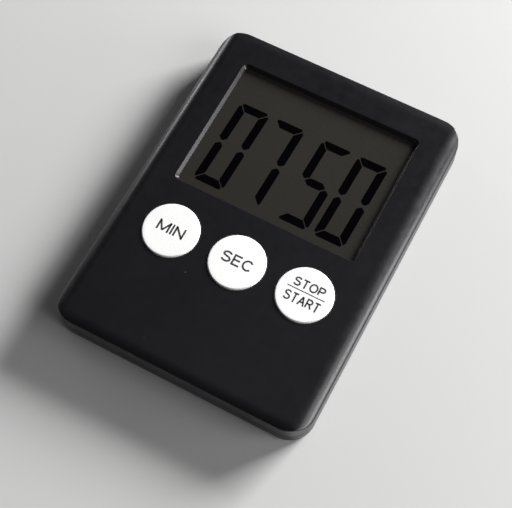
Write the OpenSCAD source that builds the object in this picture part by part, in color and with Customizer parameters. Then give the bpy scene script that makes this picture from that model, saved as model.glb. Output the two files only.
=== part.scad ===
// Slim pocket kitchen timer lying on its back, display up.
// The origin is the centre of the back face, +Z rises out of the display, +Y is the top of the display.

/* [Body] */
// Width of the body
body_w = 64; // [63.5:0.5:66]
// Height of the body, from lower edge to upper edge
body_h = 86; // [86:0.5:88]
// Thickness from the back to the flat of the face
body_t = 8; // [8:0.1:8.4]
// Radius of the four corners, seen from the front
corner_r = 6; // [5:0.5:6.5]
// Height of the line where the two covers meet
parting_z = 3.4; // [3.2:0.1:3.6]
// Thickness of the covers
wall = 1.2; // [1.1:0.05:1.2]

/* [Face] */
// Width of the roll along the two long sides of the face
side_roll = 3.7; // [3:0.1:4]
// Drop of that roll at the edge
side_drop = 2; // [1.5:0.1:2.2]
// Width of the roll along the upper and lower ends of the face
end_roll = 2.8; // [2:0.1:3]
// Drop of the end roll at the edge
end_drop = 0.5; // [0.3:0.1:0.7]

/* [Display] */
// Width of the window at the face
window_w = 47; // [46:0.1:47.2]
// Height of the window at the face
window_h = 35.6; // [34.8:0.1:35.8]
// Height of the window's centre above the body's centre
window_y = 17.1; // [17:0.1:17.3]
// How much each window wall leans inwards
window_lean = 0.65; // [0.4:0.05:0.7]
// Depth of the window walls below the face
window_depth = 0.9; // [0.8:0.05:1]

/* [Buttons] */
// Diameter of a button's cap
button_d = 13.5; // [13:0.1:13.7]
// Distance between neighbouring buttons
button_pitch = 17.16; // [16.8:0.02:17.4]
// Height of the button row below the body's centre
button_y = -13; // [-13.3:0.1:-13]
// How far a button stands proud of the face
button_proud = 0.3; // [0.2:0.05:0.6]
// Gap between a button and its hole
button_gap = 0.2; // [0.15:0.05:0.25]
// How far a button travels
button_travel = 0.75; // [0.6:0.05:0.75]

/* [Battery] */
// Diameter of the button cell
cell_d = 11.6; // [11.5:0.1:11.6]
// Thickness of the button cell
cell_t = 5.2; // [5:0.1:5.2]
// Place of the cell to the right of the centre
cell_x = 15; // [14.8:0.1:15.2]
// Place of the cell below the centre
cell_y = -31; // [-31.2:0.1:-30.8]

/* [Back] */
// Diameter of a magnet
magnet_d = 10; // [8:0.5:10]
// Distance between the two magnets
magnet_pitch = 40; // [38:1:40]
// Height of the magnets above the centre
magnet_y = 33.5; // [33:0.5:33.5]
// Diameter of the round part of the hanging hole
keyhole_d = 5; // [4.6:0.1:5]
// Width of the slot of the hanging hole
keyhole_slot = 2.6; // [2.4:0.1:2.6]
// Height of the hanging hole above the centre
keyhole_y = 33.5; // [33:0.5:34]
// Width of the kickstand
stand_w = 26; // [24:0.5:26]
// Length of the kickstand from its hinge to its foot
stand_l = 30; // [26:1:30]
// Height of the kickstand's hinge above the centre
stand_y = 17; // [16.5:0.5:17]
// Diameter of the buzzer's brass disc
buzzer_d = 20; // [18:0.5:20]

/* [Hidden] */
$fn = 64;
eps = 0.01;

// Heights of the layers, from the back upwards.
floor_z = wall;
board_z = 2.4;
board_t = 0.8;
board_top = board_z + board_t;
bezel_z = body_t - window_depth;
gasket_z = bezel_z - 0.1;
polariser_z = gasket_z - 0.2;
front_glass_z = polariser_z - 0.7;
rear_glass_z = front_glass_z - 0.7;
reflector_z = rear_glass_z - 0.15;
ceiling_z = body_t - wall;
rib_z = 4.6;

// Inner outline of the covers and of the tongue that locates them.
inner_w = body_w - 2 * wall;
inner_h = body_h - 2 * wall;
inner_r = corner_r - wall;
tongue_gap = 0.05;
tongue_t = 0.8;
tongue_h = 1;
ceiling_inset = 1.6;
ceiling_end_inset = 0.3;
ceiling_step_z = 5.4;
back_round = 1;

// Outlines of the display's layers.
glass_w = 52;
glass_top_y = 38;
ledge_y = -4.2;
rear_glass_y = -1.4;
polariser_w = 51;
polariser_y = -2.2;
polariser_top_y = 37.6;
glass_gap = 0.15;
rib_t = 1.05;
window_corner_r = 1.2;
window_floor_r = 0.8;
gasket_margin = 0.1;
gasket_clear = 0.25;
frame_rail = 2.5;
zebra_inset = 2;
zebra_clear = 0.3;

// Buttons, domes and pills.
button_r = button_d / 2;
button_x = [-button_pitch, 0, button_pitch];
flange_r = button_r + 0.65;
flange_t = 1;
flange_z = ceiling_z - 0.05 - flange_t;
cap_wall = 1.1;
cap_roof = 1.2;
plunger_r = 1.8;
plunger_z = 5.25;
edge_round = 0.35;
key_w = 1.6;
key_l = 0.9;
key_gap = 0.15;
key_rib_t = 0.7;
key_rib_y = button_y - flange_r - key_l - 0.25;
mat_t = 0.5;
mat_top = board_top + mat_t;
dome_r = 3.8;
dome_top_r = 2.6;
dome_wall = 0.6;
dome_roof = 0.35;
pill_r = 1.5;
pill_t = 0.3;
pill_z = board_top + button_travel + 0.05;
mat_w = 52;
mat_low_y = -18.4;
mat_high_y = -5.6;
pad_y = -19.5;

// Outline of the board and the notch that clears the hanging hole.
board_w = 59;
board_low_y = -20.6;
board_high_y = 39;
notch_w = 8;
notch_y = 29;

// Plan size of a chip capacitor or resistor.
chip_w = 0.9;
chip_l = 1.8;

// Screws.
cover_screw_x = 28.1;
cover_screw_y = 39.1;
cover_boss_r = 2.1;
cover_shank_r = 0.9;
cover_head_r = 1.6;
cover_head_t = 0.9;
cover_head_z = 0.3;
board_screw_x = 28;
board_screw_y = [-12, 31.5];
board_boss_r = 1.5;
board_shank_r = 0.6;
board_head_r = 1.15;
board_head_t = 0.45;
screw_gap = 0.02;
screw_end_z = 6;
screw_hole_z = 6.2;

// Buzzer and its sound holes.
buzzer_x = -13;
buzzer_y = -30.8;
buzzer_z = 2.3;
buzzer_t = 0.2;
ceramic_t = 0.15;
adhesive_t = 0.1;
seat_r = 9.4;
seat_wall = 1;
sound_hole_r = 0.7;
sound_ring_r = 3.2;

// Magnets and the pegs under the board.
magnet_t = 1;
magnet_gap = 0.05;
magnet_wall = 1;
magnet_seat_z = 1.9;
peg_x = 24;
peg_y = 8;
peg_r = 1.2;

// Battery door and kickstand.
cell_z = floor_z + 0.05;
cell_gap = 0.2;
cell_ring_t = 0.9;
contact_t = 0.2;
door_w = 16.4;
door_top_y = -23.5;
door_t = 1.15;
rail_w = 0.6;
rail_z = 0.35;
rail_t = 0.5;
slide_gap = 0.1;
hinge_z = 0.7;
hinge_r = 0.5;
hinge_gap = 0.05;
pin_l = 1;
stand_t = 1.1;
knuckle_r = 0.6;
pan_depth = 1.35;
pan_roof = 0.75;
pan_gap = 0.25;
pan_wall = 1.6;
pan_end = 1;
pan_hinge_wall = 2.5;
scoop_r = 4;
scoop_depth = 0.8;
recess_side = 4;
recess_foot = 5;
recess_depth = 0.35;
grip_l = 8;
grip_w = 0.5;
grip_pitch = 1.1;
grip_depth = 0.3;
grip_y = -38;

module rounded_rect(w, h, r) {
  square([w - 2 * r, h], center = true);
  square([w, h - 2 * r], center = true);
  for (x = [-1, 1])
    for (y = [-1, 1])
      translate([x * (w / 2 - r), y * (h / 2 - r)]) circle(r);
}

module slab(w, h, r, z0, z1) {
  translate([0, 0, z0]) linear_extrude(z1 - z0) rounded_rect(w, h, r);
}

// A rectangular plate given by its half width, its lower and upper edge and its two heights.
module plate(half_w, y0, y1, z0, z1) {
  translate([-half_w, y0, z0]) cube([2 * half_w, y1 - y0, z1 - z0]);
}

module disc(x, y, r, z0, z1) {
  translate([x, y, z0]) cylinder(h = z1 - z0, r = r);
}

module at_cover_screws() {
  for (x = [-1, 1])
    for (y = [-1, 1])
      translate([x * cover_screw_x, y * cover_screw_y, 0]) children();
}

module at_board_screws() {
  for (x = [-1, 1])
    for (y = board_screw_y)
      translate([x * board_screw_x, y, 0]) children();
}

// Section of a slab whose two upper edges roll over: the roll is a wide and b deep at the width w.
// The section runs on past that width, and the outline trims it.
module rolled_section(w, a, b) {
  spare = 0.1;
  roll_r = (a * a + b * b) / (2 * b);
  low = body_t - roll_r + sqrt(roll_r * roll_r - pow(a + spare, 2));
  translate([-w / 2 - spare, 0]) square([w + 2 * spare, low]);
  translate([-w / 2 + a, 0]) square([w - 2 * a, body_t]);
  for (s = [-1, 1])
    intersection() {
      translate([s * (w / 2 - a), body_t - roll_r]) circle(roll_r, $fn = 128);
      translate([s * (w / 2 - a / 2 + spare / 2) - (a + spare) / 2, 0]) square([a + spare, body_t]);
    }
}

module front_outer() {
  intersection() {
    rotate([90, 0, 0]) linear_extrude(body_h + 2, center = true)
      rolled_section(body_w, side_roll, side_drop);
    rotate([90, 0, 90]) linear_extrude(body_w + 2, center = true)
      rolled_section(body_h, end_roll, end_drop);
    slab(body_w, body_h, corner_r, parting_z, body_t + 1);
  }
}

// The window narrows towards the display.
module window_cut() {
  lean_rate = window_lean / window_depth;
  top = 1;
  hull() {
    translate([0, window_y, bezel_z - eps]) linear_extrude(eps)
      rounded_rect(window_w - 2 * window_lean, window_h - 2 * window_lean, window_floor_r, $fn = 32);
    translate([0, window_y, body_t + top]) linear_extrude(eps)
      rounded_rect(window_w + 2 * lean_rate * top, window_h + 2 * lean_rate * top, window_corner_r, $fn = 32);
  }
}

module front_cover() {
  rib_half = glass_w / 2 + glass_gap + rib_t;
  pocket_half = glass_w / 2 + glass_gap;
  cell_ring_z = 2.2;
  slot_w = 5;
  slot_depth = 1.2;
  color([0.11, 0.11, 0.12])
  difference() {
    union() {
      difference() {
        front_outer();
        slab(inner_w, inner_h, inner_r, parting_z - eps, ceiling_step_z);
        slab(inner_w - 2 * ceiling_inset, inner_h - 2 * ceiling_end_inset, inner_r / 2,
             ceiling_step_z - eps, ceiling_z);
      }
      plate(rib_half, ledge_y - glass_gap - rib_t, glass_top_y + glass_gap + rib_t, rib_z, ceiling_z + eps);
      at_cover_screws() disc(0, 0, cover_boss_r, parting_z, ceiling_z + eps);
      at_board_screws() disc(0, 0, board_boss_r, board_top, ceiling_z + eps);
      disc(cell_x, cell_y, cell_d / 2 + cell_gap + cell_ring_t, cell_ring_z, ceiling_z + eps);
      for (x = button_x)
        for (s = [-1, 1])
          translate([x + s * (key_w / 2 + key_gap + key_rib_t / 2) - key_rib_t / 2, key_rib_y, flange_z])
            cube([key_rib_t, key_l, ceiling_z - flange_z + eps]);
    }
    plate(pocket_half, ledge_y - glass_gap, glass_top_y + glass_gap, rib_z - eps, bezel_z);
    window_cut();
    for (x = button_x)
      disc(x, button_y, button_r + button_gap, parting_z, body_t + 1);
    disc(cell_x, cell_y, cell_d / 2 + cell_gap, cell_ring_z - eps, ceiling_z);
    translate([cell_x - slot_w / 2, cell_y + cell_d / 2 - slot_depth, cell_ring_z - eps])
      cube([slot_w, slot_depth + 2, ceiling_z - cell_ring_z - 1]);
    at_cover_screws() disc(0, 0, cover_shank_r + screw_gap, parting_z - eps, screw_hole_z);
    at_board_screws() disc(0, 0, board_shank_r + screw_gap, board_top - eps, screw_hole_z);
  }
}

// The slab of the rear cover, with its back edge rounded over.
module rear_outer() {
  hull()
    for (x = [-1, 1])
      for (y = [-1, 1])
        translate([x * (body_w / 2 - corner_r), y * (body_h / 2 - corner_r), 0])
          rotate_extrude($fn = 64) {
            square([corner_r - back_round, parting_z]);
            translate([0, back_round]) square([corner_r, parting_z - back_round]);
            translate([corner_r - back_round, back_round]) circle(back_round, $fn = 24);
          }
}

module stand_pan() {
  plate(stand_w / 2 + pan_gap, stand_y - stand_l - pan_gap, stand_y + knuckle_r + pan_gap, -eps, pan_depth);
}

module keyhole() {
  slot_l = 4;
  disc(0, keyhole_y, keyhole_d / 2, -eps, floor_z + eps);
  disc(0, keyhole_y + slot_l, keyhole_slot / 2, -eps, floor_z + eps);
  translate([-keyhole_slot / 2, keyhole_y, -eps]) cube([keyhole_slot, slot_l, floor_z + 2 * eps]);
}

module door_recess() {
  half = door_w / 2 + slide_gap;
  bottom = -body_h / 2 - 1;
  translate([cell_x, 0, 0]) {
    plate(half, bottom, door_top_y, -eps, floor_z + 0.05);
    plate(half + rail_w + slide_gap, bottom, door_top_y, rail_z - slide_gap, rail_z + rail_t + slide_gap);
  }
}

module rear_cover() {
  tongue_w = inner_w - 2 * tongue_gap;
  tongue_len = inner_h - 2 * tongue_gap;
  pan_half = stand_w / 2 + pan_gap;
  color([0.1, 0.1, 0.11])
  difference() {
    union() {
      difference() {
        union() {
          rear_outer();
          slab(tongue_w, tongue_len, inner_r - tongue_gap, parting_z - eps, parting_z + tongue_h);
        }
        slab(tongue_w - 2 * tongue_t, tongue_len - 2 * tongue_t, inner_r - tongue_t, floor_z, parting_z + 2);
      }
      plate(pan_half + pan_wall, stand_y - stand_l - pan_gap - pan_end, stand_y + pan_hinge_wall,
            eps, pan_depth + pan_roof);
      for (s = [-1, 1])
        disc(s * magnet_pitch / 2, magnet_y, magnet_d / 2 + magnet_wall, eps, magnet_seat_z);
      at_cover_screws() disc(0, 0, cover_boss_r, eps, parting_z);
      disc(buzzer_x, buzzer_y, seat_r, eps, buzzer_z - adhesive_t);
      for (s = [-1, 1])
        disc(s * peg_x, peg_y, peg_r, floor_z - eps, board_z);
    }
    stand_pan();
    disc(0, stand_y - stand_l - pan_end, scoop_r, -eps, scoop_depth);
    for (s = [-1, 1])
      translate([s * (pan_half + pin_l / 2), stand_y, hinge_z]) rotate([0, 90, 0])
        cylinder(h = pin_l + 0.2, r = hinge_r + hinge_gap, center = true);
    for (s = [-1, 1])
      disc(s * magnet_pitch / 2, magnet_y, magnet_d / 2 + magnet_gap, -eps, magnet_t + magnet_gap);
    keyhole();
    disc(buzzer_x, buzzer_y, seat_r - seat_wall, floor_z, buzzer_z);
    disc(buzzer_x, buzzer_y, sound_hole_r, -eps, floor_z + eps);
    for (a = [0 : 60 : 300])
      translate([sound_ring_r * cos(a), sound_ring_r * sin(a), 0])
        disc(buzzer_x, buzzer_y, sound_hole_r, -eps, floor_z + eps);
    door_recess();
    at_cover_screws() {
      disc(0, 0, cover_head_r + 0.1, -eps, cover_head_z + cover_head_t);
      disc(0, 0, cover_shank_r + 0.1, -eps, parting_z + eps);
      disc(0, 0, cover_boss_r + 0.1, parting_z, parting_z + tongue_h + eps);
    }
  }
}

module display_gasket() {
  open_half = window_w / 2 - window_lean + gasket_clear;
  open_h = window_h - 2 * window_lean + 2 * gasket_clear;
  color([0.15, 0.15, 0.15])
  difference() {
    plate(polariser_w / 2 - gasket_margin, polariser_y + gasket_margin,
          polariser_top_y - gasket_margin, gasket_z, bezel_z);
    plate(open_half, window_y - open_h / 2, window_y + open_h / 2, gasket_z - eps, bezel_z + eps);
  }
}

module front_polariser() {
  color([0.45, 0.45, 0.4])
    plate(polariser_w / 2, polariser_y, polariser_top_y, polariser_z, gasket_z);
}

module lcd_front_glass() {
  color([0.6, 0.65, 0.62, 0.5])
    plate(glass_w / 2, ledge_y, glass_top_y, front_glass_z, polariser_z);
}

module lcd_rear_glass() {
  color([0.55, 0.6, 0.58, 0.5])
    plate(glass_w / 2, rear_glass_y, glass_top_y, rear_glass_z, front_glass_z);
}

module rear_reflector() {
  color([0.7, 0.7, 0.66])
    plate(polariser_w / 2, rear_glass_y + glass_top_y - polariser_top_y, polariser_top_y,
          reflector_z, rear_glass_z);
}

module display_frame() {
  color([0.9, 0.9, 0.88])
  difference() {
    plate(glass_w / 2, rear_glass_y, glass_top_y, board_top, reflector_z);
    plate(glass_w / 2 - frame_rail, rear_glass_y + frame_rail, glass_top_y - frame_rail,
          board_top - eps, reflector_z + eps);
  }
}

module zebra_strip() {
  color([0.8, 0.55, 0.55])
    plate(glass_w / 2 - zebra_inset, ledge_y + zebra_clear, rear_glass_y - zebra_clear,
          board_top, front_glass_z);
}

module circuit_board() {
  color([0.05, 0.35, 0.2])
  difference() {
    plate(board_w / 2, board_low_y, board_high_y, board_z, board_top);
    at_cover_screws() disc(0, 0, cover_boss_r + 0.3, board_z - eps, board_top + eps);
    at_board_screws() disc(0, 0, board_shank_r + 0.1, board_z - eps, board_top + eps);
    plate(notch_w / 2, notch_y, board_high_y + 1, board_z - eps, board_top + eps);
  }
}

// A drop of black epoxy over the bonded chip.
module chip_blob() {
  blob_r = 4;
  blob_h = 0.9;
  blob_x = -20;
  blob_y = -4;
  ball_r = (blob_r * blob_r + blob_h * blob_h) / (2 * blob_h);
  color([0.04, 0.04, 0.04])
  intersection() {
    translate([blob_x, blob_y, board_z - blob_h + ball_r]) sphere(ball_r, $fn = 96);
    disc(blob_x, blob_y, blob_r + 1, board_z - 1, board_z);
  }
}

module quartz_crystal() {
  can_r = 1;
  can_l = 6;
  can_x = 2.5;
  can_y = -29;
  wire_r = 0.1;
  wire_l = 3.6;
  color([0.75, 0.76, 0.78]) {
    translate([can_x, can_y, board_top + 0.4]) rotate([-90, 0, 0]) cylinder(h = can_l, r = can_r);
    for (s = [-1, 1])
      translate([can_x + s * 0.4, can_y + can_l - wire_r, board_top + wire_r]) rotate([-90, 0, 0])
        cylinder(h = wire_l, r = wire_r);
  }
}

// Chip parts soldered to the back of the board, listed by their centres.
module chips(places, w, l, h) {
  for (p = places)
    translate([p[0] - w / 2, p[1] - l / 2, board_z - h]) cube([w, l, h]);
}

module chip_capacitors() {
  color([0.72, 0.6, 0.42])
    chips([[-24, 14], [-21, 14], [-18, 14], [20, -8], [23, -8]], chip_w, chip_l, 0.6);
}

module chip_resistors() {
  color([0.08, 0.08, 0.09])
    chips([[18, 2], [21, 2], [24, 2], [-24, 20]], chip_w, chip_l, 0.45);
}

module buzzer_transistor() {
  color([0.08, 0.08, 0.08]) chips([[-10, -17]], 2.9, 1.3, 1);
}

module buzzer_coil() {
  color([0.3, 0.2, 0.12]) disc(-3, -17, 1.8, board_z - 1, board_z);
}

// Cap, flange and central post of one button, with its top edge rounded over.
module button(x) {
  cap_top = body_t + button_proud;
  color([0.96, 0.96, 0.95])
  translate([x, button_y, 0]) {
    difference() {
      union() {
        rotate_extrude($fn = 96) {
          translate([0, flange_z]) square([flange_r, flange_t]);
          translate([0, flange_z]) square([button_r, cap_top - edge_round - flange_z]);
          translate([0, flange_z]) square([button_r - edge_round, cap_top - flange_z]);
          translate([button_r - edge_round, cap_top - edge_round]) circle(edge_round, $fn = 32);
        }
        translate([-key_w / 2, -flange_r - key_l, flange_z]) cube([key_w, key_l + 0.5, flange_t]);
      }
      disc(0, 0, button_r - cap_wall, flange_z - eps, cap_top - cap_roof);
    }
    disc(0, 0, plunger_r, plunger_z, cap_top - cap_roof + eps);
  }
}

module keypad_mat() {
  color([0.55, 0.56, 0.58])
  difference() {
    plate(mat_w / 2, mat_low_y, mat_high_y, board_top, mat_top);
    for (x = button_x) disc(x, button_y, dome_r - dome_wall, board_top - eps, mat_top + eps);
  }
}

// Rubber dome that carries the button and snaps it back.
module dome(x) {
  roof_z = plunger_z - dome_roof;
  color([0.6, 0.61, 0.63])
  translate([x, button_y, 0])
    rotate_extrude()
      polygon([
        [dome_r, mat_top], [dome_top_r, roof_z], [dome_top_r, plunger_z], [0, plunger_z],
        [0, pill_z + pill_t], [pill_r, pill_z + pill_t], [pill_r, roof_z],
        [dome_top_r - dome_wall, roof_z], [dome_r - dome_wall, mat_top]
      ]);
}

module contact_pill(x) {
  color([0.05, 0.05, 0.05]) disc(x, button_y, pill_r, pill_z, pill_z + pill_t);
}

module buzzer_adhesive_ring() {
  color([0.9, 0.9, 0.85])
  difference() {
    disc(buzzer_x, buzzer_y, seat_r, buzzer_z - adhesive_t, buzzer_z);
    disc(buzzer_x, buzzer_y, seat_r - seat_wall, buzzer_z - adhesive_t - eps, buzzer_z + eps);
  }
}

module buzzer_disc() {
  color([0.8, 0.62, 0.28]) disc(buzzer_x, buzzer_y, buzzer_d / 2, buzzer_z, buzzer_z + buzzer_t);
}

module buzzer_ceramic() {
  color([0.88, 0.86, 0.8])
    disc(buzzer_x, buzzer_y, buzzer_d / 2 - 3, buzzer_z + buzzer_t, buzzer_z + buzzer_t + ceramic_t);
}

// One lead: up from the disc, across, and down to its pad on the board.
module lead(x0, y0, z0, x1) {
  lead_r = 0.3;
  bend_r = 0.34;
  top_z = board_top + 1;
  run = sqrt(pow(x1 - x0, 2) + pow(pad_y - y0, 2));
  disc(x0, y0, lead_r, z0, top_z);
  translate([x0, y0, top_z]) sphere(bend_r);
  translate([x0, y0, top_z]) rotate([0, 0, atan2(pad_y - y0, x1 - x0)]) rotate([0, 90, 0])
    cylinder(h = run, r = lead_r);
  translate([x1, pad_y, top_z]) sphere(bend_r);
  disc(x1, pad_y, lead_r, board_top, top_z);
}

module buzzer_leads() {
  color([0.75, 0.1, 0.08]) lead(buzzer_x, buzzer_y + 4, buzzer_z + buzzer_t + ceramic_t, buzzer_x + 3);
  color([0.08, 0.08, 0.08]) lead(buzzer_x + 8, buzzer_y + 2, buzzer_z + buzzer_t, buzzer_x + 6);
}

// Stepped can and cap of the cell, with the negative cap towards the display.
module button_cell() {
  rim_r = 0.3;
  crimp = 0.5;
  cap_inset = 0.9;
  color([0.78, 0.79, 0.8])
  translate([cell_x, cell_y, cell_z])
    rotate_extrude($fn = 96) {
      translate([0, rim_r]) square([cell_d / 2, cell_t - 2 * crimp - 0.1]);
      square([cell_d / 2 - rim_r, cell_t - crimp]);
      translate([cell_d / 2 - rim_r, rim_r]) circle(rim_r, $fn = 24);
      square([cell_d / 2 - cap_inset, cell_t]);
    }
}

// Bent strip that presses on the cell's side and is soldered to the board.
module positive_contact() {
  strip_w = 4;
  strip_h = 2.2;
  side_y = cell_y + cell_d / 2 + 0.02;
  color([0.8, 0.78, 0.7])
    translate([cell_x, 0, 0]) {
      plate(strip_w / 2, side_y, side_y + contact_t, board_top, board_top + strip_h);
      plate(strip_w / 2, side_y, pad_y + 0.8, board_top, board_top + contact_t);
    }
}

// Three fingers joined at their root, flat on the cell's cap.
module negative_contact() {
  finger_w = 1.2;
  finger_l = 6;
  finger_x = 3;
  middle_w = 3;
  root_l = 0.9;
  root_y = cell_y - 4.3;
  leaf_z = cell_z + cell_t;
  color([0.8, 0.78, 0.7])
    translate([cell_x, 0, 0]) {
      plate(middle_w / 2, root_y + root_l - eps, root_y + root_l + finger_l + 1, leaf_z, leaf_z + contact_t);
      for (s = [-1, 1])
        translate([s * finger_x, 0, 0])
          plate(finger_w / 2, root_y + root_l - eps, root_y + root_l + finger_l, leaf_z, leaf_z + contact_t);
      plate(finger_x + finger_w / 2, root_y, root_y + root_l, leaf_z, leaf_z + contact_t);
    }
}

module battery_door() {
  door_len = door_top_y - slide_gap + body_h / 2;
  color([0.1, 0.1, 0.11])
  translate([cell_x, 0, 0])
  difference() {
    intersection() {
      union() {
        plate(door_w / 2, -body_h / 2, -body_h / 2 + door_len, 0, door_t);
        plate(door_w / 2 + rail_w, -body_h / 2, -body_h / 2 + door_len, rail_z, rail_z + rail_t);
      }
      union() {
        translate([0, 0, back_round])
          plate(door_w, -body_h / 2, 0, 0, 1);
        plate(door_w, -body_h / 2 + back_round, 0, -1, 3);
        translate([0, -body_h / 2 + back_round, back_round]) rotate([0, 90, 0])
          cylinder(h = 2 * door_w, r = back_round, center = true);
      }
    }
    for (k = [0 : 4])
      plate(grip_l / 2, grip_y + k * grip_pitch, grip_y + k * grip_pitch + grip_w, -eps, grip_depth);
  }
}

module magnets() {
  color([0.6, 0.61, 0.63])
    for (s = [-1, 1])
      disc(s * magnet_pitch / 2, magnet_y, magnet_d / 2, 0, magnet_t);
}

// Leg with its two pins moulded on, folded flat into the back.
module kickstand() {
  half = stand_w / 2;
  color([0.13, 0.13, 0.14])
  difference() {
    union() {
      plate(half, stand_y - stand_l, stand_y, hinge_z - knuckle_r, hinge_z - knuckle_r + stand_t);
      translate([0, stand_y, hinge_z]) rotate([0, 90, 0])
        cylinder(h = stand_w, r = knuckle_r, center = true);
      translate([0, stand_y, hinge_z]) rotate([0, 90, 0])
        cylinder(h = stand_w + 2 * pan_gap + 2 * pin_l - 0.1, r = hinge_r, center = true);
    }
    plate(half - recess_side, stand_y - stand_l + recess_foot, stand_y - recess_side,
          -1, hinge_z - knuckle_r + recess_depth);
  }
}

// Pan-head screw pointing up, with a cross recess in its head.
module screw(head_r, head_t, shank_r, z0, z1) {
  cross_l = 1.2 * head_r;
  cross_w = 0.26 * head_r;
  difference() {
    union() {
      translate([0, 0, z0]) cylinder(h = head_t, r = head_r);
      translate([0, 0, z0 + head_t - eps]) cylinder(h = z1 - z0 - head_t, r = shank_r);
    }
    for (a = [0, 90])
      rotate([0, 0, a])
        translate([-cross_l / 2, -cross_w / 2, z0 - eps])
          cube([cross_l, cross_w, head_t * 0.6]);
  }
}

module cover_screws() {
  color([0.5, 0.5, 0.52])
    at_cover_screws() screw(cover_head_r, cover_head_t, cover_shank_r, cover_head_z, screw_end_z);
}

module board_screws() {
  color([0.6, 0.6, 0.62])
    at_board_screws() screw(board_head_r, board_head_t, board_shank_r, board_z - board_head_t, screw_end_z);
}

front_cover();
rear_cover();
display_gasket();
front_polariser();
lcd_front_glass();
lcd_rear_glass();
rear_reflector();
display_frame();
zebra_strip();
circuit_board();
chip_blob();
quartz_crystal();
chip_capacitors();
chip_resistors();
buzzer_transistor();
buzzer_coil();
button(button_x[0]);  // min_button
button(button_x[1]);  // sec_button
button(button_x[2]);  // start_stop_button
keypad_mat();
dome(button_x[0]);  // min_dome
dome(button_x[1]);  // sec_dome
dome(button_x[2]);  // start_stop_dome
contact_pill(button_x[0]);  // min_contact_pill
contact_pill(button_x[1]);  // sec_contact_pill
contact_pill(button_x[2]);  // start_stop_contact_pill
buzzer_disc();
buzzer_ceramic();
buzzer_adhesive_ring();
buzzer_leads();
button_cell();
positive_contact();
negative_contact();
battery_door();
magnets();
kickstand();
cover_screws();
board_screws();
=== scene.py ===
# Looks of a slim pocket kitchen timer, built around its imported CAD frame.
# Lengths below are in millimetres, and MM turns them into Blender's metres.
import math

import bpy
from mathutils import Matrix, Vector


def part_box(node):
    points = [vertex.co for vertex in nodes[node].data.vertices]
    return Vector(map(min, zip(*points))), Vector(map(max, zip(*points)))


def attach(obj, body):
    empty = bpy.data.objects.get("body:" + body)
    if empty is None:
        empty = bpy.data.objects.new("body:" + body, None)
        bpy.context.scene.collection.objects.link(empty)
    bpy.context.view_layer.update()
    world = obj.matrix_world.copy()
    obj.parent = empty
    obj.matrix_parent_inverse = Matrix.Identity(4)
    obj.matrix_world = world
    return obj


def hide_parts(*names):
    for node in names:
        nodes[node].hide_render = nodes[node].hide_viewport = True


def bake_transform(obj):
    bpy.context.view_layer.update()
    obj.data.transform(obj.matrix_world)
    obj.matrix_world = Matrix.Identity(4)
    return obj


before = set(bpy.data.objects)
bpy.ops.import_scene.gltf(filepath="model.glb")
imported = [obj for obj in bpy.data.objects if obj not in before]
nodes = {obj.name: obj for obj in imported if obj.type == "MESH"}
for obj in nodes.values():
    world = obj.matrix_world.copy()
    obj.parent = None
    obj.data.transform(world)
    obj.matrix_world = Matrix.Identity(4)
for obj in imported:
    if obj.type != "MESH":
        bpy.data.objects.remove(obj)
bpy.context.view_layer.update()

scene = bpy.context.scene

MM = 0.001
TAU = 2 * math.pi


def box_mm(node):
    """Lowest and highest corner of a CAD node, in millimetres."""
    low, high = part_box(node)
    return low / MM, high / MM


# ---------------------------------------------------------------- camera
camera_data = bpy.data.cameras.new("photo_camera")
camera_data.lens = 87.21
camera_data.sensor_width = 36
camera_data.clip_start = 0.01
camera = bpy.data.objects.new("photo_camera", camera_data)
camera.location = (0.0587, -0.1110, 0.2644)
camera.rotation_euler = [math.radians(a) for a in (24.37, 0.34, 27.99)]
scene.collection.objects.link(camera)
scene.camera = camera


# ---------------------------------------------------------------- mesh tools
def mesh_object(name, verts, faces):
    """An object in the scene from points in millimetres."""
    mesh = bpy.data.meshes.new(name)
    mesh.from_pydata([[c * MM for c in v] for v in verts], [], faces)
    obj = bpy.data.objects.new(name, mesh)
    scene.collection.objects.link(obj)
    return obj


def round_rect(half_w, half_h, radius, z, centre=(0, 0), steps=16):
    """A rounded rectangle, counter-clockwise seen from above. z is a number or a function of x and y."""
    points = []
    for quarter, (sx, sy) in enumerate(((1, 1), (-1, 1), (-1, -1), (1, -1))):
        for k in range(steps + 1):
            a = math.radians(90 * quarter) + math.radians(90) * k / steps
            x = centre[0] + sx * (half_w - radius) + radius * math.cos(a)
            y = centre[1] + sy * (half_h - radius) + radius * math.sin(a)
            points.append((x, y, z(x, y) if callable(z) else z))
    return points


def circle(radius, z, centre=(0, 0), steps=96):
    turns = [TAU * k / steps for k in range(steps)]
    return [(centre[0] + radius * math.cos(a), centre[1] + radius * math.sin(a), z) for a in turns]


def quarter_turn(steps, degrees=90):
    """Angles from zero to a quarter turn, or to the degrees given."""
    return [math.radians(degrees) * k / steps for k in range(steps + 1)]


def loft_data(rings, closed=False):
    """Faces through rings of equal length. Flat caps close the ends, unless the last ring joins the first."""
    n = len(rings[0])
    verts = [p for ring in rings for p in ring]
    faces = []
    pairs = list(zip(range(len(rings) - 1), range(1, len(rings))))
    if closed:
        pairs.append((len(rings) - 1, 0))
    for i, j in pairs:
        for k in range(n):
            m = (k + 1) % n
            faces.append((i * n + k, i * n + m, j * n + m, j * n + k))
    if not closed:
        faces.append(tuple(reversed(range(n))))
        faces.append(tuple(range(len(verts) - n, len(verts))))
    return verts, faces


def loft(name, rings, closed=False):
    return mesh_object(name, *loft_data(rings, closed))


def lofts(name, many):
    """Several separate lofts in one object."""
    verts, faces = [], []
    for rings in many:
        v, f = loft_data(rings)
        faces += [tuple(i + len(verts) for i in face) for face in f]
        verts += v
    return mesh_object(name, verts, faces)


def slab(half_w, half_h, radius, z0, z1):
    """Rings of a plate with rounded corners."""
    return [round_rect(half_w, half_h, radius, z, steps=6) for z in (z0, z1)]


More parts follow.
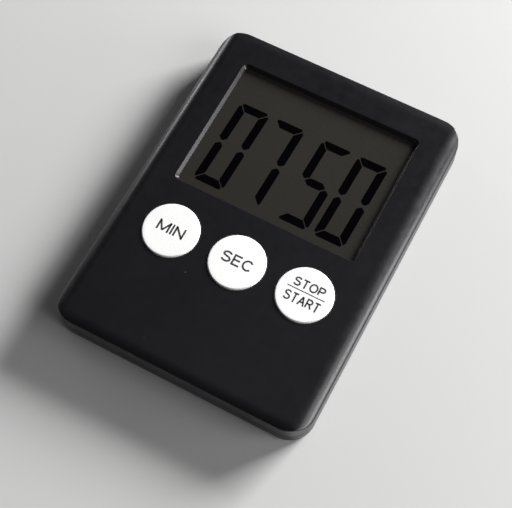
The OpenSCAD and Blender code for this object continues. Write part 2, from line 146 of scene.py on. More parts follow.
def plate(x0, x1, y0, y1, z0, z1):
    """Rings of a plate with square corners."""
    corners = [(x0, y0), (x1, y0), (x1, y1), (x0, y1)]
    return [[(x, y, z) for x, y in corners] for z in (z0, z1)]


def post(radius, z0, z1, centre, steps=48):
    """Rings of an upright cylinder."""
    return [circle(radius, z, centre, steps) for z in (z0, z1)]


def tube_x(radius, x0, x1, y, z, steps=48):
    """A cylinder along X, as two rings that loft from x0 to x1."""
    return [[(x, y + radius * math.cos(TAU * k / steps), z + radius * math.sin(TAU * k / steps))
             for k in range(steps)] for x in (x0, x1)]


def carve(obj, steps):
    """Exact Booleans in order: each step is "cut" or "add" and a tool, which is used up."""
    for kind, tool in steps:
        change = obj.modifiers.new(kind, "BOOLEAN")
        change.operation = {"cut": "DIFFERENCE", "add": "UNION"}[kind]
        change.solver = "EXACT"
        change.object = tool
    bpy.context.view_layer.update()
    carved = bpy.data.meshes.new_from_object(obj.evaluated_get(bpy.context.evaluated_depsgraph_get()))
    obj.modifiers.clear()
    obj.data = carved
    for _, tool in steps:
        bpy.data.objects.remove(tool)
    return obj


def weigh_normals(obj):
    weighted = obj.modifiers.new("weighted_normals", "WEIGHTED_NORMAL")
    weighted.mode = "FACE_AREA"
    weighted.keep_sharp = True


def finish_shading(obj, angle):
    """Smooth shading that stays sharp where faces meet at more than angle degrees."""
    obj.data.shade_smooth()
    obj.data.set_sharp_from_angle(angle=math.radians(angle))
    weigh_normals(obj)


def piece(obj, material, body, replaces=(), angle=32):
    """A finished piece of the visual model, on its body, hiding the CAD nodes that it replaces."""
    obj.data.materials.clear()
    obj.data.materials.append(material)
    finish_shading(obj, angle)
    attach(obj, body)
    if replaces:
        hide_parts(*replaces)
    return obj


# ---------------------------------------------------------------- material tools
class Look:
    """A procedural material on the object's own coordinates, in metres."""

    def __init__(self, name, base, rough, metal=0.0, ior=1.46, **uniform):
        self.material = bpy.data.materials.new(name)
        self.material.use_nodes = True
        self.tree = self.material.node_tree
        self.shader = self.tree.nodes["Principled BSDF"]
        self.coords = self.tree.nodes.new("ShaderNodeTexCoord").outputs["Object"]
        self.set("Base Color", (*base, 1))
        self.set("Roughness", rough)
        self.set("Metallic", metal)
        self.set("IOR", ior)
        for key, value in uniform.items():
            self.set(key.replace("_", " ").title().replace("Ior", "IOR"), value)

    def set(self, socket, value):
        """Gives one of the shader's sockets a value, or links an output to it."""
        if hasattr(value, "is_output"):
            self.tree.links.new(value, self.shader.inputs[socket])
        else:
            self.shader.inputs[socket].default_value = value

    def node(self, kind, out=0, inputs=(), **settings):
        """Adds a node and returns the output called out."""
        made = self.tree.nodes.new("ShaderNode" + kind)
        for key, value in settings.items():
            setattr(made, key, value)
        for key, value in dict(inputs).items():
            socket = made.inputs[key]
            if hasattr(value, "is_output"):
                self.tree.links.new(value, socket)
            else:
                socket.default_value = value
        return made.outputs[out]

    def noise(self, scale, detail=3.0, rough=0.5, stretch=None):
        """Noise of so many cells per metre, stretched along the axes if stretch says so."""
        where = self.coords
        if stretch:
            where = self.node("Mapping", inputs={"Vector": where, "Scale": stretch})
        return self.node("TexNoise", "Fac",
                         {"Vector": where, "Scale": scale, "Detail": detail, "Roughness": rough})

    def voronoi(self, scale):
        """Distance to the nearest of a field of points, as a share of their spacing."""
        return self.node("TexVoronoi", "Distance", {"Vector": self.coords, "Scale": scale})

    def between(self, value, low, high, to_low=0.0, to_high=1.0):
        """Maps low..high to to_low..to_high and clamps what lies outside."""
        return self.node("MapRange", inputs={"Value": value, "From Min": low, "From Max": high,
                                             "To Min": to_low, "To Max": to_high})

    def math(self, operation, a, b=0.0):
        return self.node("Math", inputs={0: a, 1: b}, operation=operation)

    def mix(self, factor, first, second):
        """Mixes two colours. The node's colour inputs are its sockets 6 and 7, and its colour output is 2."""
        made = self.tree.nodes.new("ShaderNodeMix")
        made.data_type = "RGBA"
        for index, value in ((0, factor), (6, first), (7, second)):
            if hasattr(value, "is_output"):
                self.tree.links.new(value, made.inputs[index])
            else:
                made.inputs[index].default_value = value if index == 0 else (*value, 1)
        return made.outputs[2]

    def xyz(self, axis):
        return self.node("SeparateXYZ", "XYZ".index(axis), {"Vector": self.coords})

    def bump(self, height, strength, distance):
        """Adds a bump over any bump before it. distance is in millimetres."""
        before = self.shader.inputs["Normal"]
        inputs = {"Height": height, "Strength": strength, "Distance": distance * MM}
        if before.is_linked:
            inputs["Normal"] = before.links[0].from_socket
        self.set("Normal", self.node("Bump", "Normal", inputs))

    def rough_between(self, value, low, high):
        """Roughness that wanders from low to high with a noise."""
        self.set("Roughness", self.between(value, 0.3, 0.7, low, high))


def cover_look():
    look = Look("cover_plastic", (0.0054, 0.0050, 0.0066), 0.32, ior=1.47)
    grain = look.noise(5200, 2, 0.6)
    cloud = look.noise(70, 3, 0.5)
    tone = look.mix(look.between(cloud, 0.35, 0.65), (0.0048, 0.0044, 0.0060), (0.0062, 0.0057, 0.0075))
    dust = look.between(look.voronoi(130), 0.008, 0.013, 1, 0)
    look.set("Base Color", look.mix(dust, tone, (0.22, 0.21, 0.20)))
    look.rough_between(look.noise(450, 3, 0.6), 0.27, 0.33)
    look.bump(grain, 0.06, 0.006)
    return look.material


def button_look():
    look = Look("button_plastic", (0.86, 0.86, 0.85), 0.30, ior=1.49)
    cloud = look.noise(160, 3, 0.5)
    tone = look.mix(look.between(cloud, 0.35, 0.65), (0.85, 0.85, 0.845), (0.88, 0.88, 0.872))
    look.set("Base Color", tone)
    look.rough_between(look.noise(900, 3, 0.6), 0.26, 0.36)
    look.bump(look.noise(1800, 2, 0.5), 0.05, 0.010)
    return look.material


def ink_look():
    look = Look("legend_ink", (0.035, 0.035, 0.037), 0.5)
    look.set("Base Color", look.mix(look.noise(6000, 2, 0.6), (0.028, 0.028, 0.030), (0.045, 0.045, 0.047)))
    look.bump(look.noise(9000, 2, 0.6), 0.08, 0.005)
    return look.material


def polariser_look():
    look = Look("polariser_film", (0.0235, 0.0215, 0.0185), 0.28, ior=1.40, specular_ior_level=0.3)
    cloud = look.noise(45, 2, 0.5)
    film = look.mix(look.between(cloud, 0.35, 0.65), (0.0228, 0.0206, 0.0178), (0.0245, 0.0222, 0.0192))
    dust = look.between(look.voronoi(190), 0.010, 0.018, 1, 0)
    look.set("Base Color", look.mix(dust, film, (0.16, 0.16, 0.15)))
    look.rough_between(look.noise(2500, 3, 0.6), 0.24, 0.33)
    look.bump(look.noise(7000, 2, 0.5), 0.04, 0.005)
    return look.material


def segment_look():
    look = Look("active_segments", (0.0012, 0.0010, 0.0014), 0.5, specular_ior_level=0.0)
    cloud = look.noise(3000, 2, 0.5)
    look.set("Base Color", look.mix(cloud, (0.0010, 0.0008, 0.0012), (0.0016, 0.0014, 0.0018)))
    return look.material


def glass_look():
    look = Look("display_glass", (0.80, 0.84, 0.82), 0.05, ior=1.52, transmission_weight=0.9)
    look.rough_between(look.noise(300, 2, 0.5), 0.03, 0.07)
    look.bump(look.noise(120, 2, 0.5), 0.02, 0.01)
    return look.material


def reflector_look():
    look = Look("reflector_film", (0.62, 0.62, 0.58), 0.42, metal=0.9)
    look.set("Base Color", look.mix(look.noise(900, 3, 0.6), (0.58, 0.58, 0.54), (0.66, 0.66, 0.62)))
    look.bump(look.noise(9000, 2, 0.6), 0.2, 0.01)
    return look.material


def foam_look():
    look = Look("gasket_foam", (0.018, 0.018, 0.018), 0.9, specular_ior_level=0.2)
    cells = look.voronoi(7000)
    look.set("Base Color", look.mix(cells, (0.010, 0.010, 0.010), (0.024, 0.024, 0.024)))
    look.bump(cells, 0.5, 0.03)
    return look.material


def white_plastic_look():
    look = Look("frame_plastic", (0.82, 0.82, 0.79), 0.45)
    look.set("Base Color", look.mix(look.noise(150, 3, 0.5), (0.79, 0.79, 0.76), (0.84, 0.84, 0.81)))
    look.bump(look.noise(4000, 2, 0.5), 0.1, 0.01)
    return look.material


def zebra_look():
    """Pink rubber with a core of thin conductive layers along its middle."""
    look = Look("zebra_rubber", (0.62, 0.34, 0.34), 0.65)
    layer_pitch, strip_y, core_half = 0.18, -2.8, 0.45
    layers = look.math("SINE", look.math("MULTIPLY", look.xyz("X"), TAU / (layer_pitch * MM)))
    from_middle = look.math("ABSOLUTE", look.math("SUBTRACT", look.xyz("Y"), strip_y * MM))
    core = look.math("LESS_THAN", from_middle, core_half * MM)
    striped = look.mix(look.between(layers, -0.2, 0.2), (0.015, 0.015, 0.015), (0.30, 0.17, 0.17))
    pink = look.mix(look.noise(1500, 3, 0.6), (0.56, 0.30, 0.30), (0.66, 0.37, 0.37))
    look.set("Base Color", look.mix(core, pink, striped))
    look.bump(layers, 0.2, 0.01)
    return look.material


def board_look():
    look = Look("board_laminate", (0.02, 0.16, 0.08), 0.32)
    traces = look.node("TexBrick", "Fac", {
        "Vector": look.coords, "Scale": 260.0, "Mortar Size": 0.035, "Mortar Smooth": 0.1,
        "Brick Width": 0.9, "Row Height": 0.32}, offset=0.37, squash=0.6, squash_frequency=3)
    vias = look.between(look.voronoi(330), 0.07, 0.10, 1, 0)
    mask = look.mix(look.noise(220, 3, 0.5), (0.014, 0.130, 0.062), (0.022, 0.175, 0.088))
    copper = look.mix(traces, mask, (0.035, 0.26, 0.12))
    look.set("Base Color", look.mix(vias, copper, (0.62, 0.60, 0.54)))
    look.rough_between(look.noise(1500, 3, 0.6), 0.26, 0.38)
    look.bump(traces, 0.4, 0.03)
    return look.material


def epoxy_look():
    look = Look("chip_epoxy", (0.010, 0.010, 0.010), 0.22)
    look.set("Base Color", look.mix(look.noise(800, 3, 0.5), (0.008, 0.008, 0.008), (0.014, 0.014, 0.015)))
    look.bump(look.noise(700, 3, 0.5), 0.3, 0.05)
    return look.material


def metal_look(name, base, rough, brush=None, worn=0.12, bump=0.06):
    """Brushed or plated metal: brush is the stretch of the scratches along X, Y and Z."""
    look = Look(name, base, rough, metal=1.0)
    lines = look.noise(900, 4, 0.65, brush or (1, 1, 1))
    dull = tuple(c * (1 - worn) for c in base)
    look.set("Base Color", look.mix(look.between(look.noise(260, 4, 0.6), 0.4, 0.62), base, dull))
    look.rough_between(lines, max(rough - 0.07, 0.04), rough + 0.12)
    look.bump(lines, bump, 0.01)
    return look.material


def chip_look(name, base, centres_y, end_half=0.55):
    """A chip part with tinned ends. centres_y lists the middles of the parts along Y."""
    look = Look(name, base, 0.4)
    y = look.xyz("Y")
    away = look.math("ABSOLUTE", look.math("SUBTRACT", y, centres_y[0] * MM))
    for centre in centres_y[1:]:
        away = look.math("MINIMUM", away, look.math("ABSOLUTE", look.math("SUBTRACT", y, centre * MM)))
    tinned = look.math("GREATER_THAN", away, end_half * MM)
    body = look.mix(look.noise(4000, 3, 0.6), tuple(c * 0.85 for c in base), tuple(c * 1.1 for c in base))
    look.set("Base Color", look.mix(tinned, body, (0.66, 0.66, 0.64)))
    look.set("Metallic", tinned)
    look.bump(look.noise(6000, 2, 0.5), 0.15, 0.01)
    return look.material


def plain_grain_look(name, base, rough, grain=3000, strength=0.15, spread=0.12):
    look = Look(name, base, rough)
    look.set("Base Color", look.mix(look.noise(grain / 4, 3, 0.6), tuple(c * (1 - spread) for c in base),
                                    tuple(min(1, c * (1 + spread)) for c in base)))
    look.rough_between(look.noise(grain / 2, 3, 0.5), rough - 0.05, rough + 0.05)
    look.bump(look.noise(grain, 2, 0.5), strength, 0.02)
    return look.material


def lead_look():
    """One red lead and one black, told apart by their place across the timer."""
    look = Look("lead_insulation", (0.6, 0.04, 0.03), 0.35)
    black_from_x = -9
    red_side = look.math("LESS_THAN", look.xyz("X"), black_from_x * MM)
    wear = look.noise(1200, 3, 0.5)
    red = look.mix(wear, (0.50, 0.030, 0.022), (0.62, 0.045, 0.035))
    black = look.mix(wear, (0.012, 0.012, 0.012), (0.020, 0.020, 0.020))
    look.set("Base Color", look.mix(red_side, black, red))
    look.bump(look.noise(2500, 2, 0.5), 0.1, 0.01)
    return look.material


LOOKS = {
    "cover_plastic": cover_look(),
    "button_plastic": button_look(),
    "display_glass": glass_look(),
    "polariser": polariser_look(),
    "reflector": reflector_look(),
    "foam": foam_look(),
    "frame_plastic": white_plastic_look(),
    "conductive_rubber": zebra_look(),
    "board_laminate": board_look(),
    "epoxy": epoxy_look(),
    "crystal_can": metal_look("crystal_can", (0.70, 0.70, 0.72), 0.25, (1, 0.1, 1)),
    "capacitor_ceramic": chip_look("capacitor_ceramic", (0.50, 0.36, 0.20), (14, -8)),
    "resistor_ceramic": chip_look("resistor_ceramic", (0.02, 0.02, 0.022), (2, 20)),
    "transistor_plastic": plain_grain_look("transistor_plastic", (0.015, 0.015, 0.015), 0.5, 5000, 0.3),
    "coil_ferrite": plain_grain_look("coil_ferrite", (0.08, 0.07, 0.065), 0.55, 4000, 0.4),
    "silicone": plain_grain_look("silicone", (0.42, 0.43, 0.45), 0.55, 2500, 0.12),
    "carbon": plain_grain_look("carbon", (0.010, 0.010, 0.010), 0.7, 5000, 0.4),
    "buzzer_brass": metal_look("buzzer_brass", (0.78, 0.57, 0.22), 0.28, (0.1, 1, 1)),
    "piezo_ceramic": plain_grain_look("piezo_ceramic", (0.80, 0.78, 0.72), 0.4, 3000, 0.15),
    "adhesive": plain_grain_look("adhesive", (0.80, 0.80, 0.76), 0.6, 2000, 0.2),
    "lead_insulation": lead_look(),
    "cell_steel": metal_look("cell_steel", (0.72, 0.73, 0.74), 0.24, (1, 1, 0.2)),
    "spring_steel": metal_look("spring_steel", (0.75, 0.73, 0.66), 0.22, (1, 0.1, 1)),
    "magnet_nickel": metal_look("magnet_nickel", (0.62, 0.63, 0.65), 0.16, None, 0.2, 0.04),
    "screw_steel": metal_look("screw_steel", (0.50, 0.50, 0.52), 0.27, None, 0.25),
}

# ---------------------------------------------------------------- sizes of the covers
# What the frame's boxes give.
front_high = box_mm("front_cover")[1]
half_w, half_h, face_z = front_high
gasket_low, gasket_high = box_mm("display_gasket")
glass_low, glass_high = box_mm("lcd_front_glass")
bezel_z = gasket_high.z
film_z = box_mm("front_polariser")[1].z
board_top = box_mm("circuit_board")[1].z

# Sizes that no box gives, the same as in the CAD model.
parting_z = 3.4
corner_r = 6.0
wall = 1.2
overlap = 0.02
side_roll, side_drop = 3.7, 2.0
end_roll, end_drop = 2.8, 0.5
window_half = (23.5, 17.8)
window_centre = (0.0, 17.1)
window_lean = 0.65
window_radius_top, window_radius_bottom = 1.2, 0.8
cover_posts = [(sx * 28.1, sy * 39.1) for sx in (-1, 1) for sy in (-1, 1)]
board_posts = [(sx * 28.0, y) for sx in (-1, 1) for y in (-12.0, 31.5)]
magnets = [(sx * 20.0, 33.5) for sx in (-1, 1)]
hinge_y, hinge_z = 17.0, 0.7

# Rounding that the CAD model leaves out.
edge_fillet = 0.30
seam_chamfer = 0.12


def roll_drop(inside, width, drop):
    """How far the face has dropped at a distance inside the edge, on an arc that meets the flat."""
    if inside >= width:
        return 0.0
    radius = (width * width + drop * drop) / (2 * drop)
    return radius - math.sqrt(radius * radius - (width - inside) ** 2)


def face_height(x, y):
    """Height of the front face, where the rolls of its sides and ends meet smoothly at the corners."""
    side = roll_drop(half_w - abs(x), side_roll, side_drop)
    end = roll_drop(half_h - abs(y), end_roll, end_drop)
    return face_z - (side ** 4 + end ** 4) ** 0.25


def body_ring(inset, height):
    """The body's outline moved inwards."""
    return round_rect(half_w - inset, half_h - inset, corner_r - inset, height, steps=24)


def front_outside():
    """Rings of the front cover: the seam's chamfer, the side, the edge's fillet and the rolled face."""
    rings = [body_ring(seam_chamfer, parting_z), body_ring(0, parting_z + seam_chamfer)]
    for a in quarter_turn(7):
        drop = edge_fillet * (1 - math.sin(a))
        rings.append(body_ring(edge_fillet * (1 - math.cos(a)), lambda x, y, d=drop: face_height(x, y) - d))
    roll_steps, roll_end = 20, side_roll + 0.2
    for k in range(1, roll_steps + 1):
        rings.append(body_ring(edge_fillet + (roll_end - edge_fillet) * k / roll_steps, face_height))
    return rings


def window_cutter():
    """Rings of the display window: leaning sides whose upper edge is rounded by lip."""
    lip, spare = 0.20, 0.05
    depth = face_z - bezel_z
    tilt = math.atan2(depth, window_lean)
    tangent = lip * math.tan(tilt / 2)
    lip_radius = window_radius_top + 0.1
    levels = [(-window_lean * (1 + spare / depth), bezel_z - spare, window_radius_bottom),
              (-window_lean, bezel_z, window_radius_bottom),
              (-tangent * math.cos(tilt), face_z - tangent * math.sin(tilt), window_radius_top)]
    for k in range(1, 6):
        turned = tilt * (1 - 0.96 * k / 5)
        levels.append((tangent - lip * math.sin(turned), face_z - lip * (1 - math.cos(turned)), lip_radius))
    levels.append((levels[-1][0] + 0.02, face_z + 0.6, lip_radius))
    return [round_rect(window_half[0] + off, window_half[1] + off, r, z, window_centre, 12)
            for off, z, r in levels]


def button_hole(key, floor):
    """Rings of a button's hole, whose edge on the face is rounded by lip."""
    lip = 0.17
    rings = [circle(key["hole_r"], floor, key["centre"])]
    for a in quarter_turn(6, 82):
        radius = key["hole_r"] + lip * (1 - math.cos(a))
        rings.append(circle(radius, face_z - lip * (1 - math.sin(a)), key["centre"]))
    rings.append(circle(key["hole_r"] + lip, face_z + 0.6, key["centre"]))
    return rings


def front_shell():
    ceiling = face_z - wall
    root = ceiling + overlap
    inner_w, inner_h, inner_r = half_w - wall, half_h - wall, corner_r - wall
    roll_foot, roll_room_x, roll_room_y = 5.4, 1.6, 0.3
    pocket_gap = 0.15
    pocket_w = glass_high.x + pocket_gap
    pocket_low, pocket_high = glass_low.y - pocket_gap, glass_high.y + pocket_gap
    rib_w, rib_t, rib_foot = 27.2, 1.05, 4.6
    cell_low, cell_high = box_mm("button_cell")
    cell = ((cell_low.x + cell_high.x) / 2, (cell_low.y + cell_high.y) / 2)
    cell_r = (cell_high.x - cell_low.x) / 2
    ring_foot, ring_gap, ring_t = 2.2, 0.2, 0.9
    slot_w, slot_inwards, slot_outwards = 2.5, 1.2, 0.8
    post_r, post_pilot_r = 2.1, 0.92
    board_post_r, board_pilot_r = 1.5, 0.62
    pilot_top = 6.2
    guide_near, guide_far, guide_below, guide_above, guide_foot = 0.95, 1.65, 0.25, 0.65, 5.75
    guides = []
    for key in KEYS:
        for side in (-1, 1):
            x0, x1 = sorted(key["centre"][0] + side * off for off in (guide_near, guide_far))
            guides.append(plate(x0, x1, key["low_y"] - guide_below, key["low_y"] + guide_above,
                                guide_foot, root))
    return carve(loft("front_cover_shell", front_outside()), [
        ("cut", loft("cavity", slab(inner_w, inner_h, inner_r, parting_z - 0.5, roll_foot))),
        ("cut", loft("ceiling", slab(inner_w - roll_room_x, inner_h - roll_room_y, inner_r / 2,
                                     roll_foot - 0.1, ceiling))),
        ("add", loft("ribs", plate(-rib_w, rib_w, pocket_low - rib_t, pocket_high + rib_t, rib_foot, root))),
        ("add", lofts("cover_posts", [post(post_r, parting_z, root, p) for p in cover_posts])),
        ("add", lofts("board_posts", [post(board_post_r, board_top, root, p) for p in board_posts])),
        ("add", loft("cell_ring", post(cell_r + ring_gap + ring_t, ring_foot, root, cell, 96))),
        ("add", lofts("key_guides", guides)),
        ("cut", loft("pocket", plate(-pocket_w, pocket_w, pocket_low, pocket_high, rib_foot - 0.1, bezel_z))),
        ("cut", loft("window", window_cutter())),
        ("cut", lofts("button_holes", [button_hole(key, ceiling - 0.6) for key in KEYS])),
        ("cut", loft("cell_bore", post(cell_r + ring_gap, ring_foot - 0.1, ceiling, cell, 96))),
        ("cut", loft("contact_slot", plate(cell[0] - slot_w, cell[0] + slot_w,
                                           cell[1] + cell_r - slot_inwards, cell[1] + cell_r + slot_outwards,
                                           ring_foot - 0.1, ceiling - 1))),
        ("cut", lofts("cover_pilots", [post(post_pilot_r, parting_z - 0.1, pilot_top, p, 24)
                                       for p in cover_posts])),
        ("cut", lofts("board_pilots", [post(board_pilot_r, board_top - 0.1, pilot_top, p, 24)
                                       for p in board_posts])),
    ])


def mouth(outline, lip, depth):
    """A cutter from the back face inwards whose mouth is rounded by lip. outline(offset, z) gives a ring."""
    rings = [outline(lip, -0.6)]
    for a in reversed(quarter_turn(6, 82)):
        rings.append(outline(lip * (1 - math.cos(a)), lip * (1 - math.sin(a))))
    rings.append(outline(0, depth))
    return rings


def round_outline(radius, centre, steps=64):
    return lambda off, z: circle(radius + off, z, centre, steps)


def keyhole_outline(off, z):
    """A round end with a slot above it that ends in a half round."""
    round_r, slot_half, slot_l, centre_y = 2.5 + off, 1.3 + off, 4.0, magnets[0][1]
    open_angle = math.asin(slot_half / round_r)
    top_angle = math.radians(90)
    points = []
    for k in range(41):
        a = top_angle + open_angle + (TAU - 2 * open_angle) * k / 40
        points.append((round_r * math.cos(a), centre_y + round_r * math.sin(a), z))
    for k in range(17):
        a = math.pi * k / 16
        points.append((slot_half * math.cos(a), centre_y + slot_l + slot_half * math.sin(a), z))
    return points


def rear_outside():
    """Rings of the rear cover: the round edge of its back, the side and the seam's chamfer."""
    round_back = 1.0
    rings = [body_ring(round_back * (1 - math.sin(a)), round_back * (1 - math.cos(a)))
             for a in quarter_turn(8)]
    rings.append(body_ring(0, parting_z - seam_chamfer))
    rings.append(body_ring(seam_chamfer, parting_z))
    return rings


def rear_shell():
    floor_foot, past_edge = 0.5, -44
    lip = 0.15
    tongue_gap, tongue_h, tongue_t = 0.05, 1.0, 0.8
    tongue = (half_w - wall - tongue_gap, half_h - wall - tongue_gap, corner_r - wall - tongue_gap)
    pan_w, pan_low, pan_high, pan_r, pan_depth = 13.25, -13.25, 17.85, 0.35, 1.35
    pan_centre, pan_half_h = (0, (pan_low + pan_high) / 2), (pan_high - pan_low) / 2
    pan_block, pan_block_top = (-14.85, 14.85, -14.25, 19.5), 2.1
    scoop_r, scoop_centre, scoop_depth = 4.0, (0, -14.0), 0.8
    pin_hole_r, pin_hole_start, pin_hole_end = 0.55, 13.2, 14.35
    magnet_seat_r, magnet_seat_top, magnet_bore_r, magnet_bore_depth = 6.0, 1.9, 5.05, 1.05
    buzzer_low, buzzer_high = box_mm("buzzer_disc")
    buzzer = ((buzzer_low.x + buzzer_high.x) / 2, (buzzer_low.y + buzzer_high.y) / 2)
    buzzer_seat_r, buzzer_seat_top, buzzer_bore_r = 9.4, 2.2, 8.4
    sound_pitch, sound_r, sound_depth = 3.2, 0.7, 1.6
    sound = [buzzer] + [(x, y) for x, y, _ in circle(sound_pitch, 0, buzzer, 6)]
    peg_r, peg_top, pegs = 1.2, 2.4, [(side * 24, 8) for side in (-1, 1)]
    door_left, door_right, door_top, door_depth = 6.7, 23.3, -23.5, 1.25
    rail_room, rail_low, rail_high = 0.7, 0.25, 0.95
    post_r, post_gap, screw_r, screw_head_r, screw_head_depth = 2.1, 0.1, 1.0, 1.7, 1.2

    def pan(off, z):
        return round_rect(pan_w + off, pan_half_h + off, pan_r + off, z, pan_centre, 6)

    def door_recess(off, z):
        return plate(door_left - off, door_right + off, past_edge, door_top + off, z, z)[0]

    return carve(loft("rear_cover_shell", rear_outside()), [
        ("add", loft("tongue", slab(*tongue, parting_z - 0.01, parting_z + tongue_h))),
        ("cut", loft("inside", slab(*(size - tongue_t for size in tongue), wall, parting_z + 2))),
        ("add", loft("pan_block", plate(*pan_block, floor_foot, pan_block_top))),
        ("add", lofts("magnet_seats", [post(magnet_seat_r, floor_foot, magnet_seat_top, m)
                                       for m in magnets])),
        ("add", lofts("cover_posts", [post(post_r, floor_foot, parting_z, p) for p in cover_posts])),
        ("add", loft("buzzer_seat", post(buzzer_seat_r, floor_foot, buzzer_seat_top, buzzer, 96))),
        ("add", lofts("board_pegs", [post(peg_r, wall - 0.01, peg_top, p) for p in pegs])),
        ("cut", loft("pan", mouth(pan, 0.18, pan_depth))),
        ("cut", loft("scoop", mouth(round_outline(scoop_r, scoop_centre), 0.25, scoop_depth))),
        ("cut", lofts("pin_holes", [tube_x(pin_hole_r, x0, x1, hinge_y, hinge_z) for x0, x1 in
                                    ((-pin_hole_end, -pin_hole_start), (pin_hole_start, pin_hole_end))])),
        ("cut", lofts("magnet_bores", [mouth(round_outline(magnet_bore_r, m), lip, magnet_bore_depth)
                                       for m in magnets])),
        ("cut", loft("keyhole", mouth(keyhole_outline, lip, 2.5))),
        ("cut", loft("buzzer_bore", post(buzzer_bore_r, wall, 3, buzzer, 96))),
        ("cut", lofts("sound_holes", [mouth(round_outline(sound_r, s, 32), lip, sound_depth)
                                      for s in sound])),
        ("cut", loft("door_recess", mouth(door_recess, 0.12, door_depth))),
        ("cut", loft("door_rails", plate(door_left - rail_room, door_right + rail_room, past_edge, door_top,
                                         rail_low, rail_high))),
        ("cut", lofts("counterbores", [mouth(round_outline(screw_head_r, p, 48), lip, screw_head_depth)
                                       for p in cover_posts])),
        ("cut", lofts("screw_holes", [post(screw_r, 1.0, parting_z + 0.5, p, 32) for p in cover_posts])),
        ("cut", lofts("post_room", [post(post_r + post_gap, parting_z, parting_z + 1.1, p)
                                    for p in cover_posts])),
    ])


# ---------------------------------------------------------------- keys
def key_facts(name):
    """What the other functions need to know of one key, from the boxes of its button and its dome."""
    low, high = box_mm(f"{name}_dome")
    button_low, button_high = box_mm(f"{name}_button")
    cap_r, hole_gap = 6.75, 0.2
    return {"name": name, "centre": ((low.x + high.x) / 2, (low.y + high.y) / 2), "dome": (low, high),
            "bottom": button_low.z, "top": button_high.z, "cap_r": cap_r, "hole_r": cap_r + hole_gap,
            "flange_r": (button_high.x - button_low.x) / 2, "low_y": button_low.y}


KEYS = [key_facts(name) for name in ("min", "sec", "start_stop")]


def key_cap(key):
    """A hollow cap with a plunger inside, a flange that stays under the cover and a tab against turning."""
    centre, top = key["centre"], key["top"]
    cap_r, flange_r = key["cap_r"], key["flange_r"]
    plunger_r, roof_t, skirt_t = 1.8, 1.2, 1.1
    flange_z, flange_t, flange_edge = 5.75, 1.0, 0.08
    fillet = 0.30
    flange_top = flange_z + flange_t
    profile = [(plunger_r, key["bottom"]), (plunger_r, top - roof_t),
               (cap_r - skirt_t, top - roof_t), (cap_r - skirt_t, flange_z),
               (flange_r - flange_edge, flange_z), (flange_r, flange_z + flange_edge),
               (flange_r, flange_top - flange_edge), (flange_r - flange_edge, flange_top),
               (cap_r, flange_top)]
    for a in quarter_turn(8):
        profile.append((cap_r - fillet * (1 - math.cos(a)), top - fillet * (1 - math.sin(a))))
    profile.append((cap_r - 0.9, top))
    cap = loft(f"{key['name']}_cap", [circle(r, z, centre, 128) for r, z in profile])
    tab_half, tab_l, inset = 0.8, 1.4, 0.01
    tab = loft("tab", plate(centre[0] - tab_half, centre[0] + tab_half, key["low_y"], key["low_y"] + tab_l,
                            flange_z + inset, flange_top - inset))
    return carve(cap, [("add", tab)])


def dome(key):
    """A rubber dome with a gently bellied wall and a flat roof that carries the contact pill."""
    low, high = key["dome"]
    outer, bottom, top = (high.x - low.x) / 2, low.z, high.z
    roof = top - 0.35
    pill_r, pill_top = 1.5, box_mm(f"{key['name']}_contact_pill")[1].z
    foot_in, roof_in, roof_out = 3.2, 2.0, 2.6
    steps = 6

    def wall_point(radius, t):
        spread = (foot_in - roof_in) * t + 0.12 * math.sin(math.pi * t)
        return radius + spread, roof - (roof - bottom) * t

    profile = [(pill_r, pill_top), (pill_r, roof - 0.08), (pill_r + 0.08, roof), (roof_in - 0.05, roof)]
    profile += [wall_point(roof_in, k / steps) for k in range(1, steps)]
    profile += [(foot_in, bottom), (outer, bottom)]
    profile += [wall_point(roof_out, 1 - k / steps) for k in range(1, steps)]
    profile += [(roof_out, roof), (roof_out, top - 0.06), (roof_out - 0.06, top)]
    return loft(f"{key['name']}_dome_rubber", [circle(r, z, key["centre"], 64) for r, z in profile])


# ---------------------------------------------------------------- legends
def bend(centre_x, centre_y, radius_x, radius_y, start, end, steps=14):
    """Points on an elliptical arc, angles in degrees."""
    return [(centre_x + radius_x * math.cos(math.radians(start + (end - start) * k / steps)),
             centre_y + radius_y * math.sin(math.radians(start + (end - start) * k / steps)))
            for k in range(steps + 1)]


# Each letter's width and its strokes, for a letter one unit high.
LETTERS = {
    "M": (0.88, [[(0, -0.08), (0, 1.08)], [(0, 1), (0.44, 0)], [(0.44, 0), (0.88, 1)],
                 [(0.88, 1.08), (0.88, -0.08)]]),
    "I": (0.0, [[(0, -0.08), (0, 1.08)]]),
    "N": (0.70, [[(0, -0.08), (0, 1.08)], [(0, 1), (0.70, 0)], [(0.70, -0.08), (0.70, 1.08)]]),
    "S": (0.70, [bend(0.35, 0.755, 0.32, 0.245, 20, 215) + bend(0.35, 0.26, 0.35, 0.26, 55, -160)]),
    "E": (0.62, [[(0.62, 1), (0, 1), (0, 0), (0.64, 0)], [(0, 0.53), (0.57, 0.53)]]),
    "C": (0.76, [bend(0.40, 0.5, 0.40, 0.5, 42, 318, 22)]),
    "T": (0.72, [[(0, 1), (0.72, 1)], [(0.36, 1), (0.36, -0.08)]]),
    "O": (0.84, [bend(0.42, 0.5, 0.42, 0.5, 0, 360, 32)]),
    "P": (0.64, [[(0, 0), (0, 1)] + bend(0.36, 0.74, 0.28, 0.26, 90, -90) + [(0, 0.48)]]),
    "A": (0.78, [[(0, -0.05), (0.39, 1)], [(0.39, 1), (0.78, -0.05)], [(0.13, 0.34), (0.65, 0.34)]]),
    "R": (0.70, [[(0, 0), (0, 1)] + bend(0.38, 0.755, 0.27, 0.245, 90, -90) + [(0, 0.51)],
                 [(0.36, 0.51), (0.70, 0)]]),
}
LETTER_GAP = 0.27


